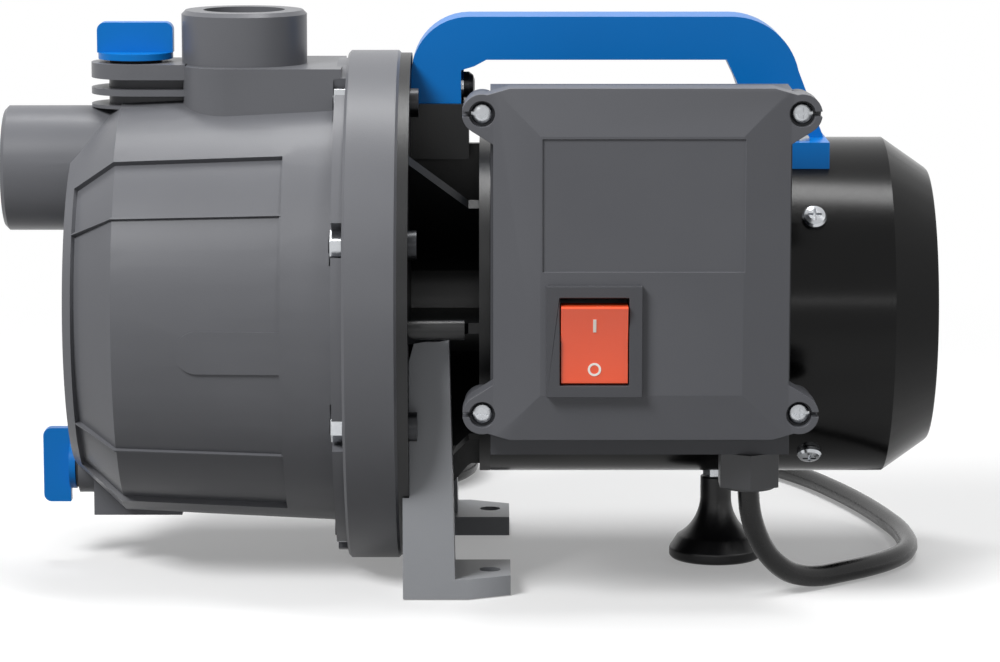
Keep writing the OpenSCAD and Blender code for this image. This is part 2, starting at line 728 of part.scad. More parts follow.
module fan_cover() {
    wall = 2.5;
    grille = [[14, 20], [24, 30], [34, 40], [43, 48]];
    color("#0f1012") difference() {
        union() {
            turned([
                [motor_r - wall, shell_len], [motor_r, shell_len], [motor_r, cover_bend],
                [cover_r1, cover_x1 - 0.8], [cover_r1 - 0.8, cover_x1], [0, cover_x1],
                [0, cover_x1 - wall], [cover_r1 - wall, cover_x1 - wall], [motor_r - wall, cover_bend - 1]
            ]);
            ring(shell_len - 4, shell_len + eps, shell_r - 2.3, shell_r - spigot_gap);
            ring(shell_len - eps, shell_len + 2, shell_r - 2.3, motor_r - wall + 0.5);
        }
        for (g = grille, k = [0 : 7]) {
            on_axis(cover_x1 - wall - 1) rotate([0, 0, k * 45 + 5]) rotate_extrude(angle = 35) {
                translate([g[0], 0]) square([g[1] - g[0], wall + 2]);
            }
        }
    }
}

// ---- Carry handle ----
bar_t = 16.4;
saddle_x = shell_len - 13;
saddle_y = 32;
saddle_screw_y = 24;
saddle_top = shaft_h + motor_r + 4;
function arc_points(c, r, a0, a1, n) = [for (i = [0 : n]) let (a = a0 + (a1 - a0) * i / n)
    [c[0] + r * cos(a), c[1] + r * sin(a)]];
module carry_handle() {
    lug_x0 = plate_x + 0.1;
    rear_x = shell_len - 2;
    color("#1f78c1") difference() {
        union() {
            slab_y(-handle_w / 2, handle_w / 2) polygon(concat(
                [[lug_x0, lug_z]],
                arc_points([lug_x0 + 22, handle_top - 22], 22, 180, 90, 12),
                arc_points([rear_x - 36, handle_top - 26], 26, 90, 12, 14),
                [[rear_x - 0.6, saddle_top - 3], [rear_x, shaft_h + 56], [rear_x - 23, shaft_h + 56],
                [rear_x - 34.2, handle_top - 24.3], [rear_x - 38, handle_top - bar_t]],
                [[-1.3, handle_top - bar_t], [-6, handle_top - bar_t - 2.5], [-11, handle_top - bar_t - 4],
                [-11, lug_z]]));
            box([rear_x - 23, -saddle_y, shaft_h + 54], [rear_x, saddle_y, saddle_top - 2.5]);
        }
        disc(0, shell_len + 40, motor_r + 0.05);
        translate([lug_x0 - 1, 0, handle_bolt_z]) rotate([0, 90, 0]) cylinder(h = 30, r = bolt_r + 0.1);
        for (s = [-1, 1]) {
            translate([saddle_x, s * saddle_screw_y, shaft_h + 40]) cylinder(h = 40, r = 2.1);
        }
    }
}
module handle_bolt() {
    color("#2a2c33") translate([-10, 0, handle_bolt_z]) rotate([0, 90, 0]) {
        rotate_extrude() polygon([[0, 0], [5, 0], [5, 2], [3.8, 3.6], [2, 4.2], [0, 4.2]]);
        translate([0, 0, joint_x + 10.6]) cylinder(h = -joint_x - 10.6 + eps, r = bolt_r);
    }
}
module handle_washer() {
    color("#c8c9cc") translate([-11, 0, handle_bolt_z]) rotate([0, 90, 0]) tube_z(0, 1, bolt_r, 6);
}
module handle_rear_screws() {
    color("#d4d6d8") for (s = [-1, 1]) {
        translate([saddle_x, s * saddle_screw_y, saddle_top - 2.5]) screw(2, 12, 4, 2.6);
    }
}

// ---- Switch box ----
box_x0 = 1.2;
box_x1 = box_x0 + box_w;
box_z0 = shaft_h - 35;
box_z1 = box_z0 + box_h;
box_y0 = -105;
box_edge_y = -101.5;
box_joint_y = -88;
gasket_t = 0.8;
base_y = box_joint_y + gasket_t;
base_back = -motor_r + 2.5;
base_floor = -motor_r - 5.5;
bevel_in = 17;
base_z0 = shaft_h - 43;
ear_r = 7.2;
ear_out = 4;
ear_up = 9.3;
ears = [for (x = [box_x0 - ear_out, box_x1 + ear_out], z = [box_z0 + ear_up, box_z1 - ear_up]) [x, z]];
cover_screw_r = 2;
counterbore_r = 4.7;
counterbore_y = -97;
switch_x = 37.7;
switch_z = shaft_h + 2;
window_w = 25;
window_h = 32;
switch_body_w = 30;
switch_body_h = 36;
bezel_w = 34.6;
bezel_h = 40.6;
bezel_t = 3;
pivot_y = -98;
pin_r = 1.5;
gland_x = 95.5;
gland_y = -78;
gland_z0 = shaft_h - 57;
gland_r = 7.5;

// One ear of the cover in X and Z, from the side edge to the top edge, turned to its corner
function ear_points(side, up) = [for (p = concat([[-ear_out, -11]], arc_points([0, 0], ear_r, -60, 105, 14), [[-10, ear_up]]))
    [(side > 0 ? box_x1 + ear_out : box_x0 - ear_out) + side * p[0],
     (up > 0 ? box_z1 - ear_up : box_z0 + ear_up) + up * p[1]]];
function backwards(p) = [for (i = [len(p) - 1 : -1 : 0]) p[i]];
module cover_outline() {
    polygon(concat(ear_points(1, 1), backwards(ear_points(-1, 1)), ear_points(-1, -1), backwards(ear_points(1, -1))));
}
module terminal_box_base() {
    rim = box_wall;
    color("#4c4d51") difference() {
        union() {
            box([box_x0 - 1, base_y, base_z0], [box_x1 + 1.5, base_back, box_z1 - 2]);
            for (e = ears) {
                translate([e[0], base_y + 13, e[1]]) rotate([90, 0, 0]) cylinder(h = 13, r = ear_r - 0.6);
            }
        }
        box([box_x0 + rim, base_y - 1, box_z0 + rim], [box_x1 - rim, base_floor, box_z1 - rim - 2]);
        disc(-30, 200, motor_r + 0.2);
        translate([11, -40, shaft_h]) rotate([90, 0, 0]) cylinder(h = 40, r = 4);
        translate([gland_x, gland_y, base_z0 - 1]) cylinder(h = 20, r = gland_r);
        for (e = ears) {
            translate([e[0], base_y + 12, e[1]]) rotate([90, 0, 0]) cylinder(h = 14, r = cover_screw_r + fit_gap);
        }
    }
}
module terminal_box_gasket() {
    inset = 0.6;
    color("#1c1c1e") slab_y(box_joint_y, base_y) difference() {
        translate([box_x0 + inset, box_z0 + inset]) square([box_w - 2 * inset, box_h - 3 - inset]);
        translate([box_x0 + box_wall, box_z0 + box_wall]) square([box_w - 2 * box_wall, box_h - 2 * box_wall - 2]);
    }
}
module terminal_box_cover() {
    wall_y = box_edge_y + 2.5;
    plate_lo = [19, shaft_h + 27];
    plate_hi = [box_x1 - bevel_in + 0.6, box_z1 - bevel_in - 1];
    color("#55565a") difference() {
        intersection() {
            slab_y(box_y0 - 1, box_joint_y) cover_outline();
            // sides slope from the flat front panel to the rim
            linear_extrude(400) polygon([
                [box_x0 - 40, box_joint_y], [box_x0 - 40, box_edge_y], [box_x0, box_edge_y],
                [box_x0 + bevel_in, box_y0], [box_x1 - bevel_in, box_y0], [box_x1, box_edge_y],
                [box_x1 + 40, box_edge_y], [box_x1 + 40, box_joint_y]
            ]);
            translate([-60, 0, 0]) rotate([90, 0, 90]) linear_extrude(400) polygon([
                [box_joint_y, box_z0 - 40], [box_edge_y, box_z0 - 40], [box_edge_y, box_z0],
                [box_y0, box_z0 + bevel_in], [box_y0, box_z1 - bevel_in], [box_edge_y, box_z1],
                [box_edge_y, box_z1 + 40], [box_joint_y, box_z1 + 40]
            ]);
        }
        box([box_x0 + box_wall, wall_y, box_z0 + box_wall], [box_x1 - box_wall, box_joint_y + 1, box_z1 - box_wall - 2]);
        box([box_x0 + bevel_in, box_y0 + 3, box_z0 + bevel_in], [box_x1 - bevel_in, wall_y + 1, box_z1 - bevel_in]);
        // bare recess for a name plate
        box([plate_lo[0], box_y0 - 1, plate_lo[1]], [plate_hi[0], box_y0 + 0.7, plate_hi[1]]);
        // switch window
        box([switch_x - switch_body_w / 2 - 0.1, box_y0 - 1, switch_z - switch_body_h / 2 - 0.1],
            [switch_x + switch_body_w / 2 + 0.1, box_joint_y, switch_z + switch_body_h / 2 + 0.1]);
        for (e = ears) {
            side = e[0] < (box_x0 + box_x1) / 2 ? -1 : 1;
            translate([e[0], box_joint_y + 1, e[1]]) rotate([90, 0, 0]) cylinder(h = 20, r = cover_screw_r + 0.2);
            translate([e[0], counterbore_y, e[1]]) rotate([90, 0, 0]) cylinder(h = 12, r = counterbore_r);
            translate([e[0] + side * ear_r / 2 - ear_r / 2, box_y0 - 1, e[1] - 0.9]) cube([ear_r, box_joint_y - box_y0 - 5, 1.8]);
        }
    }
}
module cover_screws() {
    color("#d4d6d8") for (e = ears) {
        translate([e[0], counterbore_y, e[1]]) rotate([90, 0, 0]) screw(cover_screw_r, 20, 3.9, 2.6);
    }
}
module switch_housing() {
    color("#4c4d51") difference() {
        union() {
            box([switch_x - bezel_w / 2, box_y0 - bezel_t, switch_z - bezel_h / 2],
                [switch_x + bezel_w / 2, box_y0, switch_z + bezel_h / 2]);
            box([switch_x - switch_body_w / 2, box_y0 - 1, switch_z - switch_body_h / 2],
                [switch_x + switch_body_w / 2, -84, switch_z + switch_body_h / 2]);
        }
        box([switch_x - window_w / 2, box_y0 - bezel_t - 1, switch_z - window_h / 2],
            [switch_x + window_w / 2, -86.5, switch_z + window_h / 2]);
        translate([switch_x - window_w / 2 - 1.5, pivot_y, switch_z]) rotate([0, 90, 0]) {
            cylinder(h = window_w + 3, r = pin_r + 0.05);
        }
    }
}
// Rocker at rest: its lower half is pressed in
module switch_rocker() {
    half_h = window_h / 2 - 1.5;
    width = window_w - 0.8;
    color("#f2603c") translate([switch_x, pivot_y, switch_z]) rotate([rocker_tilt, 0, 0]) {
        translate([-width / 2, 0, 0]) rotate([90, 0, 90]) linear_extrude(width) polygon([
            [-10.5, half_h - 0.6], [-9.9, half_h], [-1, half_h - 1], [4, 5], [4, -5], [-1, 1 - half_h],
            [-9.9, -half_h], [-10.5, 0.6 - half_h], [-8.6, 0]
        ]);
        translate([-width / 2 - 1.6, 0, 0]) rotate([0, 90, 0]) cylinder(h = width + 3.2, r = pin_r);
    }
}
module capacitor() {
    can_r = 13;
    color("#d9d6cb") translate([38, base_floor - can_r - 0.2, shaft_h + 58]) rotate([0, 90, 0]) union() {
        cylinder(h = 56, r = can_r);
        for (s = [-5, 5]) {
            translate([-0.4, s - 3, 56 - eps]) cube([0.8, 6, 7]);
        }
    }
}
module terminal_block() {
    color("#d8d8d2") difference() {
        box([60, base_floor - 15, shaft_h + 16], [98, base_floor - 0.2, shaft_h + 30]);
        for (i = [0 : 3]) {
            translate([64.5 + i * 9.6, base_floor - 16, shaft_h + 23]) rotate([-90, 0, 0]) cylinder(h = 10, r = 2.4);
        }
    }
}
module cable_gland() {
    hex_h = base_z0 - gland_z0;
    color("#2b2c2f") translate([gland_x, gland_y, gland_z0]) difference() {
        union() {
            rotate([0, 0, 30]) translate([0, 0, 1]) cylinder(h = hex_h - 1, r = 12.4, $fn = 6);
            cylinder(h = 1.5, r = 9.6);
            cylinder(h = hex_h + 12, r = gland_r - 0.1);
        }
        translate([0, 0, -1]) cylinder(h = hex_h + 20, r = cord_d / 2 + 0.2);
        translate([0, 0, 3]) cylinder(h = 6, r = cord_d / 2 + 1.7);
    }
}
module gland_seal() {
    color("#141415") translate([gland_x, gland_y, gland_z0 + 3]) tube_z(0, 6, cord_d / 2 + 0.05, cord_d / 2 + 1.7);
}

// ---- Rear foot ----
pad_r = 18;
module foot_stud() {
    stud_z0 = shaft_h - motor_r - 11.5;
    color("#c8c9cc") translate([stud_x, 0, 0]) union() {
        translate([0, 0, stud_z0]) cylinder(h = shaft_h - shell_r - stud_z0 - 0.2, r = stud_r);
        translate([0, 0, shaft_h - motor_r - 3]) cylinder(h = 2.9, r = 5, $fn = 6);
    }
}
module rear_rubber_foot() {
    top = shaft_h - motor_r - 3.2;
    color("#1a1a1b") translate([stud_x, 0, 0]) difference() {
        rotate_extrude() polygon(concat(
            [[0, 0], [pad_r - 1, 0], [pad_r, 1], [pad_r, 4]],
            arc_points([pad_r + 6, top - 8], pad_r, 240, 182, 10),
            [[6, top], [0, top]]));
        translate([0, 0, shaft_h - motor_r - 11.5]) cylinder(h = 20, r = stud_r + fit_gap);
    }
}

// ---- Lead ----
coil_c = [-55, 170];
coil_in = 32;
coil_out = 56;
tie_t = 1;
coil_h = 2 * cord_d;
lead_route = [
    [95.5, -78, 58], [95.5, -78, 50], [95.5, -78, 43], [96.5, -77, 33], [99.5, -74.5, 23.5], [104, -70.5, 15.5],
    [110.5, -65.5, 9], [117.5, -59.5, 5.5], [125, -53, 4], [133, -46.5, 4], [143, -37.5, 4],
    [152, -27, 4], [159, -15, 4], [163, -1, 4], [164, 15, 4], [163, 33, 4], [160, 52, 4],
    [156, 72, 4], [151, 92, 4], [145, 112, 4], [138, 132, 4], [130, 150, 4], [120, 168, 4],
    [107, 184, 4], [91, 198, 4], [73, 209, 4], [53, 217, 4], [32, 221, 4], [10, 222, 4],
    [-8, 222, 4.4], [-26, 222, 5]
];
tail_route = [[-84, 222, 13], [-94, 222, 13], [-104, 222, 13]];

function unit(v) = v / norm(v);
function tangent(p, i) = unit(p[min(i + 1, len(p) - 1)] - p[max(i - 1, 0)]);
function carried(n, t) = unit(n - (n * t) * t);
// Normals carried along a path without twist
function normals(p, i = 1, out = []) =
    i == 1 && len(out) == 0
        ? normals(p, 1, [carried(abs(tangent(p, 0)[2]) > 0.9 ? [1, 0, 0] : [0, 0, 1], tangent(p, 0))])
        : i >= len(p) ? out : normals(p, i + 1, concat(out, [carried(out[i - 1], tangent(p, i))]));
// A round tube swept along points as one closed skin
module swept(path, r, sides) {
    n = len(path);
    nrm = normals(path);
    rings = [for (i = [0 : n - 1], k = [0 : sides - 1])
        let (t = tangent(path, i), u = nrm[i], v = cross(t, u), a = 360 * k / sides)
        path[i] + r * (cos(a) * u + sin(a) * v)];
    skin = [for (i = [0 : n - 2], k = [0 : sides - 1])
        let (a = i * sides + k, b = i * sides + (k + 1) % sides)
        [a, a + sides, b + sides, b]];
    caps = [[for (k = [0 : sides - 1]) k], [for (k = [sides - 1 : -1 : 0]) (n - 1) * sides + k]];
    polyhedron(points = rings, faces = concat(skin, caps), convexity = 10);
}
// Points between route points, on a smooth curve through them
function smooth_at(p, i, t) =
    let (a = p[max(i - 1, 0)], b = p[i], c = p[i + 1], d = p[min(i + 2, len(p) - 1)])
    0.5 * (2 * b + (c - a) * t + (2 * a - 5 * b + 4 * c - d) * t * t + (3 * b - a - 3 * c + d) * t * t * t);
function smooth(p, n) = concat([for (i = [0 : len(p) - 2], k = [0 : n - 1]) smooth_at(p, i, k / n)], [p[len(p) - 1]]);
module power_cord() {
    color("#18181a") union() {
        swept(smooth(lead_route, 2), cord_d / 2, 10);
        swept(tail_route, cord_d / 2, 10);
    }
}
module cord_coil() {
    color("#18181a") translate([coil_c[0], coil_c[1], tie_t]) tube_z(0, coil_h, coil_in, coil_out);
}
module cord_tie() {
    tie_a = 8;
    color("#0c0c0d") translate([coil_c[0], coil_c[1], 0]) rotate([0, 0, -60]) rotate_extrude(angle = tie_a) difference() {
        translate([coil_in - tie_t, 0]) square([coil_out - coil_in + 2 * tie_t, coil_h + 2 * tie_t]);
        translate([coil_in - 0.05, tie_t]) square([coil_out - coil_in + 0.1, coil_h]);
    }
}
module mains_plug() {
    plug_z = 13;
    color("#18181a") translate([-104, 222, plug_z]) rotate([0, -90, 0]) {
        union() {
            rotate_extrude() polygon([[0, 0], [4.6, 0], [8, 18], [8, 20], [0, 20]]);
            translate([0, 0, 18]) linear_extrude(26) round_rect([-13, -15], [11, 15], 5);
            translate([0, 0, 43]) {
                for (s = [-1, 1]) {
                    translate([2, s * 6.35 - 0.75, 0]) cube([6.3, 1.5, 17]);
                }
                translate([-6, 0, 0]) cylinder(h = 18, r = 2.4);
            }
        }
    }
}

pump_casing();
filler_plug();
filler_plug_oring();
drain_plug();
drain_plug_oring();
ejector_body();
ejector_nozzle();
diffuser();
impeller();
impeller_nut();
casing_oring();
seal_plate();
mechanical_seal_seat();
mechanical_seal_head();
mechanical_seal_spring();
motor_bracket();
flange_bolts();
flange_nuts();
foot_stand();
foot_screws();
motor_shell();
stator_core();
stator_windings();
rotor_core();
motor_shaft();
front_bearing_outer();
front_bearing_inner();
front_bearing_balls();
rear_bearing_outer();
rear_bearing_inner();
rear_bearing_balls();
wave_washer();
rear_end_shield();
shield_screws();
tie_rods();
cooling_fan();
fan_cover();
carry_handle();
handle_bolt();
handle_washer();
handle_rear_screws();
terminal_box_base();
terminal_box_gasket();
terminal_box_cover();
cover_screws();
switch_housing();
switch_rocker();
capacitor();
terminal_block();
cable_gland();
gland_seal();
foot_stud();
rear_rubber_foot();
power_cord();
cord_coil();
cord_tie();
mains_plug();
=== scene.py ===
"""Garden jet pump: finishes, softened mouldings, lead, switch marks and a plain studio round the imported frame."""
import json
import logging
import math
from dataclasses import dataclass, field
from enum import Enum
from typing import Any, Sequence

import bmesh
import bpy
from mathutils import Matrix, Vector

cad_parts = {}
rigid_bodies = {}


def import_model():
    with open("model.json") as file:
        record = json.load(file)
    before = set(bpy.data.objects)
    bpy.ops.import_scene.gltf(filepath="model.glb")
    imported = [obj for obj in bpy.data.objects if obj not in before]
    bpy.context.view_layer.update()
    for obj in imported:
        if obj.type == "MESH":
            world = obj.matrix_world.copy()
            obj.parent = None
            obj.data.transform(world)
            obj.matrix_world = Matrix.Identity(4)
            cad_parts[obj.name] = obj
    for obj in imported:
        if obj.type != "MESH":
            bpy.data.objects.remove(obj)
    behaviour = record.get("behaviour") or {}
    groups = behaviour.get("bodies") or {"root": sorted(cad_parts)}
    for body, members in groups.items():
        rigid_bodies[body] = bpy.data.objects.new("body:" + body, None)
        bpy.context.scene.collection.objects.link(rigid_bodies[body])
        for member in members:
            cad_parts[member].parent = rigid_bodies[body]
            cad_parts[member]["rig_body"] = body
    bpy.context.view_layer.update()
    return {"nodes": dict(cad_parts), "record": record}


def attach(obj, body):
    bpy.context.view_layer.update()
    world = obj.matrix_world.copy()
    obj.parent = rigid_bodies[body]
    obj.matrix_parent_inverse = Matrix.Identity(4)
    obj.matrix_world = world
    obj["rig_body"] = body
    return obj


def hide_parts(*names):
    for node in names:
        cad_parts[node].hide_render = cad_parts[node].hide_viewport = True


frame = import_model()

LOG = logging.getLogger("jet_pump")
MM = 0.001
NODES: dict[str, bpy.types.Object] = frame["nodes"]
Point = tuple[float, float, float]


# ---- Small helpers ----
def linear(hex_colour: str) -> tuple[float, float, float, float]:
    """Turns an sRGB hex colour to linear light.

    Args:
        hex_colour: six hex digits, such as "6b6c70".

    Returns:
        The linear red, green, blue and an alpha of one.
    """
    parts = [int(hex_colour[i : i + 2], 16) / 255 for i in (0, 2, 4)]
    r, g, b = (c / 12.92 if c <= 0.04045 else ((c + 0.055) / 1.055) ** 2.4 for c in parts)
    return (r, g, b, 1.0)


def add_node(tree: bpy.types.NodeTree, kind: str, settings: dict[Any, Any] | None = None,
             links: dict[Any, bpy.types.NodeSocket] | None = None) -> bpy.types.Node:
    """Adds one node with its settings and the links into it.

    Args:
        tree: the node tree.
        kind: the node's type name.
        settings: attributes by name; an int or "in:Name" as key sets the default value of that input.
        links: input names or indices, each with the output socket that feeds it.

    Returns:
        The new node.
    """
    node = tree.nodes.new(kind)
    for key, value in (settings or {}).items():
        if isinstance(key, int):
            node.inputs[key].default_value = value
        elif key.startswith("in:"):
            node.inputs[key[3:]].default_value = value
        else:
            setattr(node, key, value)
    for key, socket in (links or {}).items():
        tree.links.new(socket, node.inputs[key])
    return node


def piece_from(name: str, mesh: bpy.types.Mesh, body: str) -> bpy.types.Object:
    """Links a mesh as a piece that rides on a body.

    Args:
        name: the piece's name.
        mesh: its mesh, already in place.
        body: the body that carries it.

    Returns:
        The new object.
    """
    piece = bpy.data.objects.new(name, mesh)
    bpy.context.scene.collection.objects.link(piece)
    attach(piece, body)
    LOG.info("%s on %s", name, body)
    return piece


# ---- Finishes ----
class Surface(Enum):
    """How a surface was made."""

    MOULDED = "spark-eroded mould texture"
    POLISHED = "polished mould"
    ENAMEL = "sprayed enamel"
    TURNED = "turned or ground metal"
    CAST = "cast metal"
    WOUND = "enamelled wire, wound"


@dataclass(frozen=True)
class Finish:
    """One finish of the pump: what it is made of and what its surface shows."""

    name: str
    surface: Surface
    colour: str
    shade: str
    roughness: float
    grain_mm: float
    bump_mm: float
    metallic: float = 0.0
    coat: float = 0.0
    specular: float = 0.5
    rough_spread: float = 0.06
    patch_mm: float = 45.0
    coat_rough: float = 0.08
    bump_strength: float = 0.6
    pits_per_grain: float = 1.4

    def material(self) -> bpy.types.Material:
        """Builds the finish as a procedural material.

        Returns:
            The new material.
        """
        made = bpy.data.materials.new(self.name)
        made.use_nodes = True
        tree = made.node_tree
        shader = tree.nodes["Principled BSDF"]
        shader.inputs["Metallic"].default_value = self.metallic
        shader.inputs["Coat Weight"].default_value = self.coat
        shader.inputs["Specular IOR Level"].default_value = self.specular
        shader.inputs["Coat Roughness"].default_value = self.coat_rough
        where = add_node(tree, "ShaderNodeTexCoord").outputs["Object"]
        if self.surface in (Surface.TURNED, Surface.WOUND):
            stretch = (1.0, 0.08, 0.08) if self.surface is Surface.TURNED else (0.15, 1.0, 1.0)
            where = add_node(tree, "ShaderNodeMapping", {"in:Scale": stretch}, {"Vector": where}).outputs[0]
        patches = add_node(tree, "ShaderNodeTexNoise", {"in:Scale": 1000 / self.patch_mm, "in:Detail": 3.0},
                           {"Vector": where})
        grain = add_node(tree, "ShaderNodeTexNoise",
                         {"in:Scale": 1000 / self.grain_mm, "in:Detail": 4.0, "in:Roughness": 0.6},
                         {"Vector": where})
        height = grain.outputs[0]
        if self.surface is Surface.MOULDED:
            # the pits of a spark-eroded tool, a little apart from one another
            pits = add_node(tree, "ShaderNodeTexVoronoi", {"in:Scale": self.pits_per_grain * 1000 / self.grain_mm},
                            {"Vector": where})
            height = add_node(tree, "ShaderNodeMath", {"operation": "MULTIPLY"},
                              {0: grain.outputs[0], 1: pits.outputs["Distance"]}).outputs[0]
        # inputs 6 and 7 and output 2 are the colour ones of a mix node
        mix = add_node(tree, "ShaderNodeMix", {"data_type": "RGBA", 6: linear(self.shade), 7: linear(self.colour)},
                       {0: patches.outputs[0]})
        rough = add_node(tree, "ShaderNodeMapRange",
                         {"in:To Min": self.roughness - self.rough_spread,
                          "in:To Max": self.roughness + self.rough_spread},
                         {"Value": grain.outputs[0]})
        bump = add_node(tree, "ShaderNodeBump", {"in:Strength": self.bump_strength, "in:Distance": self.bump_mm * MM},
                        {"Height": height})
        tree.links.new(mix.outputs[2], shader.inputs["Base Color"])
        tree.links.new(rough.outputs[0], shader.inputs["Roughness"])
        tree.links.new(bump.outputs[0], shader.inputs["Normal"])
        return made


FINISHES: dict[str, Finish] = {
    # glass-filled polypropylene, moulded in a textured tool: soft grey sheen, light edges
    "casing_plastic": Finish("Grey PP moulding", Surface.MOULDED, "65666a", "5b5c60", 0.36, 0.7, 0.04, specular=0.25),
    # ABS coloured through, moulded in a plain tool: even blue with a soft gloss
    "blue_plastic": Finish("Blue ABS moulding", Surface.POLISHED, "0070c0", "0068b4", 0.34, 1.6, 0.02, specular=0.2),
    # nitrile rubber: deep black, dull
    "seal_rubber": Finish("Nitrile rubber", Surface.MOULDED, "1b1b1c", "151516", 0.62, 0.6, 0.04),
    # glass-filled PPO of the inner hydraulics: dark and slightly streaked
    "noryl": Finish("Black PPO moulding", Surface.MOULDED, "35363a", "2b2c30", 0.5, 0.9, 0.05),
    # machined brass: warm, fine turning marks
    "brass": Finish("Machined brass", Surface.TURNED, "c9a354", "b8923f", 0.28, 0.5, 0.01, metallic=1.0),
    # stainless steel, turned or pressed
    "stainless": Finish("Stainless steel", Surface.TURNED, "c4c6c8", "b2b4b7", 0.26, 0.5, 0.01, metallic=1.0),
    # bright zinc plate on steel screws: cool and mirror-like with small pits
    "zinc_screw": Finish("Bright zinc plate", Surface.CAST, "c2c4c7", "a0a3a7", 0.2, 0.6, 0.03, metallic=1.0),
    # black zinc plate on steel bolts
    "black_screw": Finish("Black zinc plate", Surface.CAST, "2a2b2e", "1f2023", 0.32, 0.6, 0.02, metallic=0.6),
    # alumina ceramic, lapped
    "ceramic": Finish("Lapped alumina", Surface.POLISHED, "ece8de", "e2ddd0", 0.18, 1.2, 0.005),
    # resin-bonded carbon, lapped
    "carbon": Finish("Seal carbon", Surface.POLISHED, "2a2a2c", "232325", 0.35, 0.5, 0.01),
    # glass-filled nylon bracket: near black with a low sheen
    "bracket_black": Finish("Black PA moulding", Surface.MOULDED, "0b0c0e", "08090a", 0.36, 0.8, 0.05, specular=0.35),
    # light grey polypropylene of the foot stand
    "stand_plastic": Finish("Light grey PP moulding", Surface.MOULDED,
                            "a0a2a6", "94969a", 0.42, 0.7, 0.05, specular=0.3),
    # black enamel on the steel shell: wet gloss with a slight orange peel
    "motor_enamel": Finish("Black gloss enamel", Surface.ENAMEL, "040405", "030303", 0.2, 1.1, 0.02, specular=0.17),
    # stacked silicon steel: fine grey lines along the stack
    "lamination": Finish("Electrical sheet stack", Surface.TURNED, "85888d", "6f7277", 0.45, 0.5, 0.05, metallic=1.0),
    # enamelled wire, wound and varnished: red-brown strands with a soft shine
    "copper": Finish("Enamelled copper wire", Surface.WOUND, "b8652a", "9c5120", 0.35, 0.8, 0.2, metallic=0.7),
    # chrome steel, hardened and ground: bright and even
    "bearing_steel": Finish("Ground bearing steel", Surface.TURNED,
                            "c6c8ca", "b5b7ba", 0.18, 0.4, 0.005, metallic=1.0),
    # pressure die-cast aluminium: pale, slightly cloudy
    "aluminium": Finish("Die-cast aluminium", Surface.CAST, "b4b6ba", "a3a5aa", 0.42, 1.2, 0.05, metallic=1.0),
    # ABS of the switch box cover: a tone darker than the casing
    "cover_plastic": Finish("Dark grey ABS cover", Surface.MOULDED,
                            "5c5d61", "54555a", 0.38, 0.7, 0.045, specular=0.28),
    # the same ABS on the box base, a shade deeper
    "base_plastic": Finish("Dark grey ABS base", Surface.MOULDED, "4c4d51", "444549", 0.4, 0.7, 0.045, specular=0.28),
    # polycarbonate rocker, coloured through and polished: bright orange-red under a clear gloss
    "rocker_plastic": Finish("Orange-red PC rocker", Surface.POLISHED,
                             "ff6136", "fb542c", 0.14, 2.5, 0.004, coat=0.45, specular=0.3),
    # PBT of the capacitor case and terminal block: ivory, half matt
    "cap_plastic": Finish("Ivory PBT", Surface.POLISHED, "dcd9cf", "d2cec2", 0.35, 1.0, 0.01),
    # nylon of the cable gland: dark with a low sheen on its flats
    "gland_plastic": Finish("Black PA gland", Surface.MOULDED, "2c2d30", "242528", 0.38, 0.6, 0.04),
    # moulded rubber of the rear foot: black with a smooth, soft shine
    "foot_rubber": Finish("EPDM foot rubber", Surface.POLISHED, "18181a", "141416", 0.34, 1.2, 0.01, specular=0.4),
    # soft PVC jacket of the lead: satin, faintly drawn along its length
    "cord_pvc": Finish("PVC lead jacket", Surface.POLISHED, "0c0c0d", "09090a", 0.26, 1.5, 0.004, specular=0.3),
    # nylon of the coil's tie: plain black
    "tie_nylon": Finish("Nylon tie", Surface.POLISHED, "101011", "0b0b0c", 0.35, 0.8, 0.01),
}
# white pad-printed ink of the switch marks
MARK_INK = Finish("White marking ink", Surface.POLISHED, "fbf6ee", "f4eee4", 0.4, 0.8, 0.005)
# blades of the mains plug: nickel-plated brass
BLADE_METAL = Finish("Nickel-plated blades", Surface.CAST, "d9d6cf", "c8c5bd", 0.22, 0.8, 0.01, metallic=1.0)


@dataclass
class Wardrobe:
    """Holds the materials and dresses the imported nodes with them."""

    made: dict[str, bpy.types.Material] = field(default_factory=dict)

    def get(self, finish: Finish) -> bpy.types.Material:
        """Returns the finish's material, made on first use.

        Args:
            finish: the finish.

        Returns:
            Its material.
        """
        if finish.name not in self.made:
            self.made[finish.name] = finish.material()
        return self.made[finish.name]

    def slot(self, slot: str) -> bpy.types.Material:
        """Returns the material of a slot of the record.

        Args:
            slot: the slot's name.

        Returns:
            The material.
        """
        return self.get(FINISHES[slot])

    def dress_frame(self) -> dict[str, str]:
        """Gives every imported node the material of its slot.

        Returns:
            The slot of each node.
        """
        slots = {s["node"]: s["material_slot"] for s in frame["record"]["subparts"]}
        for name, node in NODES.items():
            node.data.materials.clear()
            node.data.materials.append(self.slot(slots[name]))
        LOG.info("dressed %d nodes in %d finishes", len(NODES), len(self.made))
        return slots


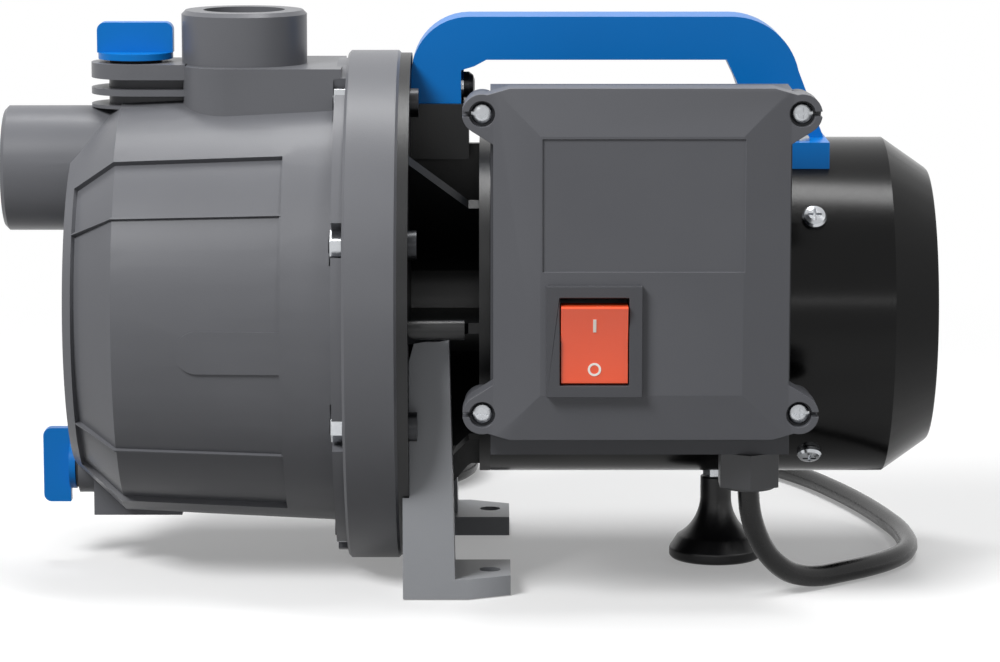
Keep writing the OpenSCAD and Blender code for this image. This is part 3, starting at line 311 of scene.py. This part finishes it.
# ---- Softened mouldings ----
@dataclass
class Mouldings:
    """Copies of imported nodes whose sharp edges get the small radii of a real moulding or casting.

    Each entry gives a node and the radius of its edges in millimetres.
    """

    wardrobe: Wardrobe
    slots: dict[str, str]
    radii: dict[str, float] = field(default_factory=lambda: {
        "pump_casing": 0.9, "filler_plug": 1.2, "drain_plug": 1.0, "motor_bracket": 0.8, "foot_stand": 0.9,
        "carry_handle": 4.2, "terminal_box_base": 0.9, "terminal_box_cover": 0.7, "switch_housing": 0.6,
        "switch_rocker": 0.9, "cable_gland": 0.6, "flange_nuts": 0.4, "fan_cover": 0.7, "mains_plug": 0.5,
        "rear_rubber_foot": 0.5,
    })
    segments: int = 3
    flat_angle: float = math.radians(0.7)
    edge_angle: float = math.radians(28)
    smooth_angle: float = math.radians(32)
    crease_angle: float = math.radians(9)
    broad_face_mm2: float = 30.0

    def soften(self, node: str, radius_mm: float) -> bpy.types.Object:
        """Makes the softened copy of one node.

        Args:
            node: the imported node.
            radius_mm: radius of its edges.

        Returns:
            The piece that replaces the node.
        """
        source = NODES[node]
        shape = bmesh.new()
        shape.from_mesh(source.data)
        bmesh.ops.remove_doubles(shape, verts=shape.verts, dist=1e-6)
        bmesh.ops.dissolve_limit(shape, angle_limit=self.flat_angle, verts=shape.verts, edges=shape.edges)
        mesh = bpy.data.meshes.new(node + "_moulded")
        shape.to_mesh(mesh)
        shape.free()
        mesh.materials.append(self.wardrobe.slot(self.slots[node]))
        piece = piece_from(node + "_moulded", mesh, source["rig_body"])
        bevel = piece.modifiers.new("Edges", "BEVEL")
        bevel.width = radius_mm * MM
        bevel.segments = self.segments
        bevel.limit_method = "ANGLE"
        bevel.angle_limit = self.edge_angle
        bevel.miter_outer = "MITER_ARC"
        bevel.use_clamp_overlap = True
        self.settle(piece)
        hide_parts(node)
        return piece

    def settle(self, piece: bpy.types.Object) -> None:
        """Applies a piece's modifiers and shades its curved faces smooth.

        Args:
            piece: the piece to settle.
        """
        self.bake_down(piece)
        piece.data.shade_smooth()
        piece.data.set_sharp_from_angle(angle=self.smooth_angle)
        self.crease(piece.data)
        # broad faces keep their own direction, so light runs off them evenly into the small radii
        even = piece.modifiers.new("Even", "WEIGHTED_NORMAL")
        even.keep_sharp = True
        even.weight = 50
        self.bake_down(piece)

    def crease(self, mesh: bpy.types.Mesh) -> None:
        """Keeps the shallow edge between two broad faces crisp, as on the slopes of the box cover.

        Args:
            mesh: the mesh whose edges are marked.
        """
        shape = bmesh.new()
        shape.from_mesh(mesh)
        for edge in shape.edges:
            faces = edge.link_faces
            if len(faces) == 2 and edge.smooth and edge.calc_face_angle() > self.crease_angle:
                edge.smooth = min(face.calc_area() for face in faces) < self.broad_face_mm2 * MM * MM
        shape.to_mesh(mesh)
        shape.free()

    @staticmethod
    def bake_down(piece: bpy.types.Object) -> None:
        """Turns a piece's modifiers into plain mesh.

        Args:
            piece: the piece.
        """
        piece.data = bpy.data.meshes.new_from_object(piece.evaluated_get(bpy.context.evaluated_depsgraph_get()))
        piece.modifiers.clear()

    def build(self) -> None:
        """Makes every softened copy, and shades the other nodes."""
        for node, radius in self.radii.items():
            self.soften(node, radius)
        for name, node in NODES.items():
            if not node.hide_render:
                node.data.shade_smooth()
                node.data.set_sharp_from_angle(angle=self.smooth_angle)


# ---- Lead, coil and plug ----
@dataclass
class Lead:
    """The mains lead: out of the gland, along the floor, two turns in each of two layers, and to the plug.

    Points are in millimetres in the row frame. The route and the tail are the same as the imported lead's.
    """

    wardrobe: Wardrobe
    thickness: float = 8.0
    route: Sequence[Point] = (
        (95.5, -78, 58), (95.5, -78, 50), (95.5, -78, 43), (96.5, -77, 33), (99.5, -74.5, 23.5), (104, -70.5, 15.5),
        (110.5, -65.5, 9), (117.5, -59.5, 5.5), (125, -53, 4), (133, -46.5, 4), (143, -37.5, 4), (152, -27, 4),
        (159, -15, 4), (163, -1, 4), (164, 15, 4), (163, 33, 4), (160, 52, 4), (156, 72, 4), (151, 92, 4),
        (145, 112, 4), (138, 132, 4), (130, 150, 4), (120, 168, 4), (107, 184, 4), (91, 198, 4), (73, 209, 4),
        (53, 217, 4), (32, 221, 4), (10, 222, 4), (-8, 222, 4.4), (-26, 222, 5),
    )
    coil_centre: tuple[float, float] = (-55, 170)
    coil_outer: float = 52.0
    coil_inner: float = 36.0
    # degrees turned on the floor, while climbing, and on top
    sweeps: tuple[float, float, float] = (720.0, 50.0, 670.0)
    step_degrees: int = 4
    min_gap: float = 0.8
    low: float = 5.0
    high: float = 13.0
    tail: Sequence[Point] = ((-84, 222, 13), (-94, 222, 13), (-107, 222, 13))

    def coil(self) -> list[Point]:
        """Winds the coil: inwards on the floor, up one thickness at the inside, outwards on top.

        Returns:
            The points of its centreline.
        """
        cx, cy = self.coil_centre
        points: list[Point] = []
        inward, climb, outward = self.sweeps
        for step in range(0, int(inward + climb + outward) + 1, self.step_degrees):
            if step <= inward:
                radius = self.coil_outer + (self.coil_inner - self.coil_outer) * step / inward
                z = self.low
            elif step <= inward + climb:
                part = (step - inward) / climb
                radius = self.coil_inner
                z = self.low + (self.high - self.low) * (3 - 2 * part) * part * part
            else:
                part = (step - inward - climb) / outward
                radius = self.coil_inner + (self.coil_outer - self.coil_inner) * part
                z = self.high
            angle = math.radians(90 + step)
            points.append((cx + radius * math.cos(angle), cy + radius * math.sin(angle), z))
        return points

    @staticmethod
    def eased(points: Sequence[Point], per_gap: int = 5) -> list[Point]:
        """Runs a smooth line through the points (Catmull-Rom).

        Args:
            points: the points to pass through.
            per_gap: samples between two points.

        Returns:
            The sampled line.
        """
        vectors = [Vector(p) for p in points]
        line: list[Point] = []
        for i in range(len(vectors) - 1):
            a, b = vectors[max(i - 1, 0)], vectors[i]
            c, d = vectors[i + 1], vectors[min(i + 2, len(vectors) - 1)]
            for k in range(per_gap):
                t = k / per_gap
                spot = 0.5 * (2 * b + (c - a) * t + (2 * a - 5 * b + 4 * c - d) * t**2
                              + (3 * b - a - 3 * c + d) * t**3)
                line.append(tuple(spot))
        line.append(tuple(vectors[-1]))
        return line

    def centreline(self) -> list[Vector]:
        """Joins route, coil and tail.

        Returns:
            The whole line in metres.
        """
        line = self.eased(self.route) + self.coil() + self.eased(self.tail)
        spots = [Vector(p) * MM for p in line]
        kept = [spots[0]]
        for spot in spots[1:]:
            if (spot - kept[-1]).length > self.min_gap * MM:
                kept.append(spot)
        return kept

    def build(self, plug: bpy.types.Object) -> bpy.types.Object:
        """Args:
            plug: the piece at its far end; not used.

        Returns:
            The lead.
        """
        line = self.centreline()
        curve = bpy.data.curves.new("mains_lead", "CURVE")
        curve.dimensions = "3D"
        curve.bevel_depth = self.thickness / 2 * MM
        curve.bevel_resolution = 4
        curve.use_fill_caps = True
        spline = curve.splines.new("POLY")
        spline.points.add(len(line) - 1)
        for point, spot in zip(spline.points, line):
            point.co = (*spot, 1.0)
        spline.use_smooth = True
        curve.materials.append(self.wardrobe.slot("cord_pvc"))
        lead = bpy.data.objects.new("mains_lead", curve)
        bpy.context.scene.collection.objects.link(lead)
        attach(lead, "pump")
        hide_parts("power_cord", "cord_coil")
        return lead


@dataclass
class PlugMetal:
    """Gives the plug's blades and earth pin their metal, past the face of the moulded body."""

    wardrobe: Wardrobe
    face_x: float = -147.9
    slack: float = 0.2

    def build(self, plug: bpy.types.Object) -> None:
        """Paints every face beyond the plug's front.

        Args:
            plug: the softened plug.
        """
        plug.data.materials.append(self.wardrobe.get(BLADE_METAL))
        metal = 0
        for face in plug.data.polygons:
            if face.center.x < (self.face_x - self.slack) * MM:
                face.material_index = 1
                metal += 1
        LOG.info("%d faces of plug metal", metal)


# ---- Rocker marks ----
@dataclass
class RockerMarks:
    """The printed on bar and off ring on the two halves of the rocker."""

    wardrobe: Wardrobe
    pivot: Point = (37.7, -98, 102)
    tilt: float = 7.0
    half_height: float = 14.5
    crest_y: float = -10.5
    waist_y: float = -8.6
    stand_off: float = 0.06
    thickness: float = 0.12
    bar: tuple[float, float] = (1.15, 5.0)
    ring: tuple[float, float] = (2.4, 1.6)
    bar_up: float = 7.3
    ring_down: float = 9.0
    waist_half: float = 0.6

    def placed(self, upper: bool) -> Matrix:
        """Finds the place of a mark on the upper or the lower half of the rocker's face.

        Args:
            upper: whether the mark is on the upper half.

        Returns:
            The matrix from the mark's own flat to the row frame.
        """
        side, height = (1, self.bar_up) if upper else (-1, self.ring_down)
        run = self.half_height - self.waist_half
        slope = math.atan2(self.waist_y - self.crest_y, run)
        y = self.waist_y + (self.crest_y - self.waist_y) * height / run
        flat = Matrix.Translation(Vector((0, y - self.stand_off, side * height)) * MM)
        lean = Matrix.Rotation(side * slope, 4, "X")
        turn = Matrix.Rotation(math.radians(self.tilt), 4, "X")
        return Matrix.Translation(Vector(self.pivot) * MM) @ turn @ flat @ lean

    def bar_outline(self) -> list[tuple[float, float]]:
        """Draws the bar of the on mark.

        Returns:
            Its corners, in millimetres.
        """
        w, h = self.bar[0] / 2, self.bar[1] / 2
        return [(-w, -h), (w, -h), (w, h), (-w, h)]

    def solid(self, name: str, loops: list[list[tuple[float, float]]], place: Matrix) -> bpy.types.Mesh:
        """Makes a thin solid from one outline, or from an outline and a hole with as many points.

        Args:
            name: the mesh's name.
            loops: the outer loop, and the inner one if there is one.
            place: where it goes.

        Returns:
            The mesh.
        """
        shape = bmesh.new()
        rings = []
        for loop in loops:
            for depth in (0.0, -self.thickness):
                rings.append([shape.verts.new(place @ (Vector((x, depth, z)) * MM)) for x, z in loop])
        count = len(rings[0])
        if len(loops) == 1:
            back, front = rings
            shape.faces.new(front)
            shape.faces.new(back[::-1])
            walls = [(back, front)]
        else:
            back, front, back_in, front_in = rings
            walls = [(back, front), (front, front_in), (front_in, back_in), (back_in, back)]
        for a, b in walls:
            for i in range(count):
                j = (i + 1) % count
                shape.faces.new((a[i], a[j], b[j], b[i]))
        bmesh.ops.recalc_face_normals(shape, faces=shape.faces)
        mesh = bpy.data.meshes.new(name)
        shape.to_mesh(mesh)
        shape.free()
        mesh.materials.append(self.wardrobe.get(MARK_INK))
        return mesh

    def build(self) -> None:
        """Makes both marks."""
        outer, inner = self.ring
        turns = [2 * math.pi * i / 48 for i in range(48)]
        circle = [[(r * math.cos(t), r * math.sin(t)) for t in turns] for r in (outer, inner)]
        piece_from("on_mark", self.solid("on_mark", [self.bar_outline()], self.placed(True)), "rocker")
        piece_from("off_mark", self.solid("off_mark", circle, self.placed(False)), "rocker")


# ---- Repeated detail by geometry nodes ----
@dataclass
class PortThread:
    """The pipe thread inside a port: one helical rib, made by a geometry nodes tree.

    Lengths are in millimetres. The rib runs from start along Z, tilted about Y by tilt degrees.
    """

    name: str
    start: Point
    tilt: float = 0.0
    bore_r: float = 15.6
    pitch: float = 2.309
    turns: float = 6.0
    rib_r: float = 0.75

    def tree(self) -> tuple[bpy.types.NodeTree, dict[str, str]]:
        """Builds the tree of a helical rib.

        Returns:
            The tree, and the identifier of each input by its name.
        """
        made = bpy.data.node_groups.new("HelicalRib", "GeometryNodeTree")
        ids = {}
        for title, kind in (("Radius", "NodeSocketFloat"), ("Pitch", "NodeSocketFloat"), ("Turns", "NodeSocketFloat"),
                            ("Rib", "NodeSocketFloat"), ("Material", "NodeSocketMaterial")):
            ids[title] = made.interface.new_socket(title, in_out="INPUT", socket_type=kind).identifier
        made.interface.new_socket("Geometry", in_out="OUTPUT", socket_type="NodeSocketGeometry")
        given = add_node(made, "NodeGroupInput").outputs
        length = add_node(made, "ShaderNodeMath", {"operation": "MULTIPLY"}, {0: given["Pitch"], 1: given["Turns"]})
        helix = add_node(made, "GeometryNodeCurveSpiral", {"in:Resolution": 48},
                         {"Rotations": given["Turns"], "Start Radius": given["Radius"],
                          "End Radius": given["Radius"], "Height": length.outputs[0]})
        crest = add_node(made, "GeometryNodeCurvePrimitiveCircle", {"in:Resolution": 6}, {"Radius": given["Rib"]})
        rib = add_node(made, "GeometryNodeCurveToMesh", {"in:Fill Caps": True},
                       {"Curve": helix.outputs["Curve"], "Profile Curve": crest.outputs["Curve"]})
        placed = add_node(made, "GeometryNodeTransform",
                          {"in:Translation": Vector(self.start) * MM, "in:Rotation": (0, math.radians(self.tilt), 0)},
                          {"Geometry": rib.outputs["Mesh"]})
        real = add_node(made, "GeometryNodeRealizeInstances", None, {"Geometry": placed.outputs[0]})
        painted = add_node(made, "GeometryNodeSetMaterial", None,
                           {"Geometry": real.outputs[0], "Material": given["Material"]})
        add_node(made, "NodeGroupOutput", None, {"Geometry": painted.outputs[0]})
        return made, ids

    def build(self, wardrobe: Wardrobe) -> bpy.types.Object:
        """Runs the tree and keeps its plain mesh.

        Args:
            wardrobe: gives the material.

        Returns:
            The rib.
        """
        paint = wardrobe.slot("casing_plastic")
        tree, ids = self.tree()
        holder = bpy.data.objects.new(self.name + "_holder", bpy.data.meshes.new(self.name))
        bpy.context.scene.collection.objects.link(holder)
        run = holder.modifiers.new("Rib", "NODES")
        run.node_group = tree
        values = {"Radius": (self.bore_r - 0.15) * MM, "Pitch": self.pitch * MM, "Turns": self.turns,
                  "Rib": self.rib_r * MM, "Material": paint}
        for title, value in values.items():
            run[ids[title]] = value
        holder.update_tag()
        graph = bpy.context.evaluated_depsgraph_get()
        mesh = bpy.data.meshes.new_from_object(holder.evaluated_get(graph))
        mesh.name = self.name
        holder.modifiers.clear()
        bpy.data.objects.remove(holder)
        mesh.shade_smooth()
        return piece_from(self.name, mesh, "pump")


# ---- Studio ----
@dataclass(frozen=True)
class SoftBox:
    """An area light: where it hangs, where it points, its size and its power."""

    name: str
    spot: Point
    aim: Point
    size: tuple[float, float]
    watts: float


@dataclass
class Studio:
    """Pale floor, soft lights and the camera, in metres."""

    lens: float = 141.3
    pitch: float = 8.9
    yaw: float = -0.125
    eye: Point = (0.0006, -1.503, 0.3246)
    floor_half: float = 6.0
    floor_drop: float = 0.0004
    sensor: float = 36.0
    lights: tuple[SoftBox, ...] = (
        SoftBox("key_left", (-0.9, -1.0, 1.3), (-0.05, 0.0, 0.1), (0.7, 0.6), 32.0),
        SoftBox("top", (0.1, 0.1, 1.5), (0.0, 0.0, 0.1), (1.3, 0.26), 17.0),
        SoftBox("fill_right", (1.5, -0.8, 0.9), (0.0, 0.0, 0.1), (0.6, 1.0), 2.5),
        SoftBox("front", (0.3, -2.2, 0.5), (0.0, 0.0, 0.1), (1.6, 0.1), 2.6),
    )

    def camera(self) -> None:
        """Makes the camera, a little above the pump and square to the switch side."""
        data = bpy.data.cameras.new("Camera")
        data.sensor_width = self.sensor
        data.lens = self.lens
        data.clip_start, data.clip_end = 0.05, 30.0
        camera = bpy.data.objects.new("Camera", data)
        camera.location = self.eye
        camera.rotation_euler = (math.radians(90 - self.pitch), 0.0, math.radians(self.yaw))
        bpy.context.scene.collection.objects.link(camera)
        bpy.context.scene.camera = camera

    @staticmethod
    def seen_direct(tree: bpy.types.NodeTree) -> bpy.types.NodeSocket:
        """Tells whether a ray comes from the camera, a mirror or a lens.

        Args:
            tree: the node tree.

        Returns:
            A socket that is one for such rays.
        """
        path = add_node(tree, "ShaderNodeLightPath").outputs
        first = add_node(tree, "ShaderNodeMath", {"operation": "MAXIMUM"},
                         {0: path["Is Camera Ray"], 1: path["Is Glossy Ray"]})
        return add_node(tree, "ShaderNodeMath", {"operation": "MAXIMUM"},
                        {0: first.outputs[0], 1: path["Is Transmission Ray"]}).outputs[0]

    def world(self) -> None:
        """Makes a world that lights softly and shows white."""
        world = bpy.data.worlds.new("Studio")
        bpy.context.scene.world = world
        world.use_nodes = True
        tree = world.node_tree
        tree.nodes.clear()
        soft = add_node(tree, "ShaderNodeBackground", {"in:Color": linear("eef0f4"), "in:Strength": 0.1})
        white = add_node(tree, "ShaderNodeBackground", {"in:Color": linear("ffffff"), "in:Strength": 1.0})
        mix = add_node(tree, "ShaderNodeMixShader", None,
                       {0: self.seen_direct(tree), 1: soft.outputs[0], 2: white.outputs[0]})
        add_node(tree, "ShaderNodeOutputWorld", None, {0: mix.outputs[0]})

    def floor(self) -> None:
        """Lays the pale floor, just under the feet."""
        half, depth = self.floor_half, -self.floor_drop
        mesh = bpy.data.meshes.new("floor")
        mesh.from_pydata([(-half, -half, depth), (half, -half, depth), (half, half, depth), (-half, half, depth)],
                         [], [(0, 1, 2, 3)])
        paint = bpy.data.materials.new("Pale floor")
        paint.use_nodes = True
        paint.node_tree.nodes["Principled BSDF"].inputs["Roughness"].default_value = 0.75
        mesh.materials.append(paint)
        self.pale(paint)
        floor = bpy.data.objects.new("floor", mesh)
        bpy.context.scene.collection.objects.link(floor)

    def pale(self, paint: bpy.types.Material, white_share: float = 0.28) -> None:
        """Lightens the floor as the camera sees it, keeps the shadow on it, and ends it in plain white.

        Args:
            paint: the floor's material.
            white_share: how much of what is seen near the pump is plain white.
        """
        tree = paint.node_tree
        shader, out = tree.nodes["Principled BSDF"], tree.nodes["Material Output"]
        seen = self.seen_direct(tree)
        tone = add_node(tree, "ShaderNodeMix", {"data_type": "RGBA", 6: linear("5a5a5a"), 7: linear("fafafa")},
                        {0: seen})
        tree.links.new(tone.outputs[2], shader.inputs["Base Color"])
        where = add_node(tree, "ShaderNodeTexCoord").outputs["Object"]
        away = add_node(tree, "ShaderNodeVectorMath", {"operation": "LENGTH"}, {0: where}).outputs["Value"]
        amount = add_node(tree, "ShaderNodeMapRange",
                          {"interpolation_type": "SMOOTHSTEP", "in:From Min": 0.2, "in:From Max": 0.75,
                           "in:To Min": white_share, "in:To Max": 1.0}, {"Value": away}).outputs[0]
        white = add_node(tree, "ShaderNodeEmission", {"in:Color": linear("ffffff"), "in:Strength": 1.0})
        share = add_node(tree, "ShaderNodeMath", {"operation": "MULTIPLY"}, {0: seen, 1: amount})
        mix = add_node(tree, "ShaderNodeMixShader", None,
                       {0: share.outputs[0], 1: shader.outputs[0], 2: white.outputs[0]})
        tree.links.new(mix.outputs[0], out.inputs[0])

    def lamps(self) -> None:
        """Hangs the soft boxes."""
        for box in self.lights:
            data = bpy.data.lights.new(box.name, "AREA")
            data.shape = "RECTANGLE"
            data.size, data.size_y = box.size
            data.energy = box.watts
            lamp = bpy.data.objects.new(box.name, data)
            lamp.location = box.spot
            lamp.rotation_euler = (Vector(box.aim) - Vector(box.spot)).to_track_quat("-Z", "Y").to_euler()
            bpy.context.scene.collection.objects.link(lamp)

    def build(self) -> None:
        """Sets the studio up; the camera is already there."""
        self.world()
        self.floor()
        self.lamps()


def main() -> None:
    """Builds the scene."""
    logging.basicConfig(level=logging.INFO, format="%(name)s: %(message)s")
    bpy.context.scene.view_settings.view_transform = "Standard"
    studio = Studio()
    studio.camera()
    wardrobe = Wardrobe()
    slots = wardrobe.dress_frame()
    mouldings = Mouldings(wardrobe, slots)
    plug = mouldings.soften("mains_plug", mouldings.radii.pop("mains_plug"))
    PlugMetal(wardrobe).build(plug)
    Lead(wardrobe).build(plug)
    mouldings.build()
    RockerMarks(wardrobe).build()
    PortThread("suction_thread", (-184.5, 0, 153), tilt=90).build(wardrobe)
    PortThread("discharge_thread", (-94, 0, 197.5)).build(wardrobe)
    studio.build()


if __name__ == "__main__":
    main()
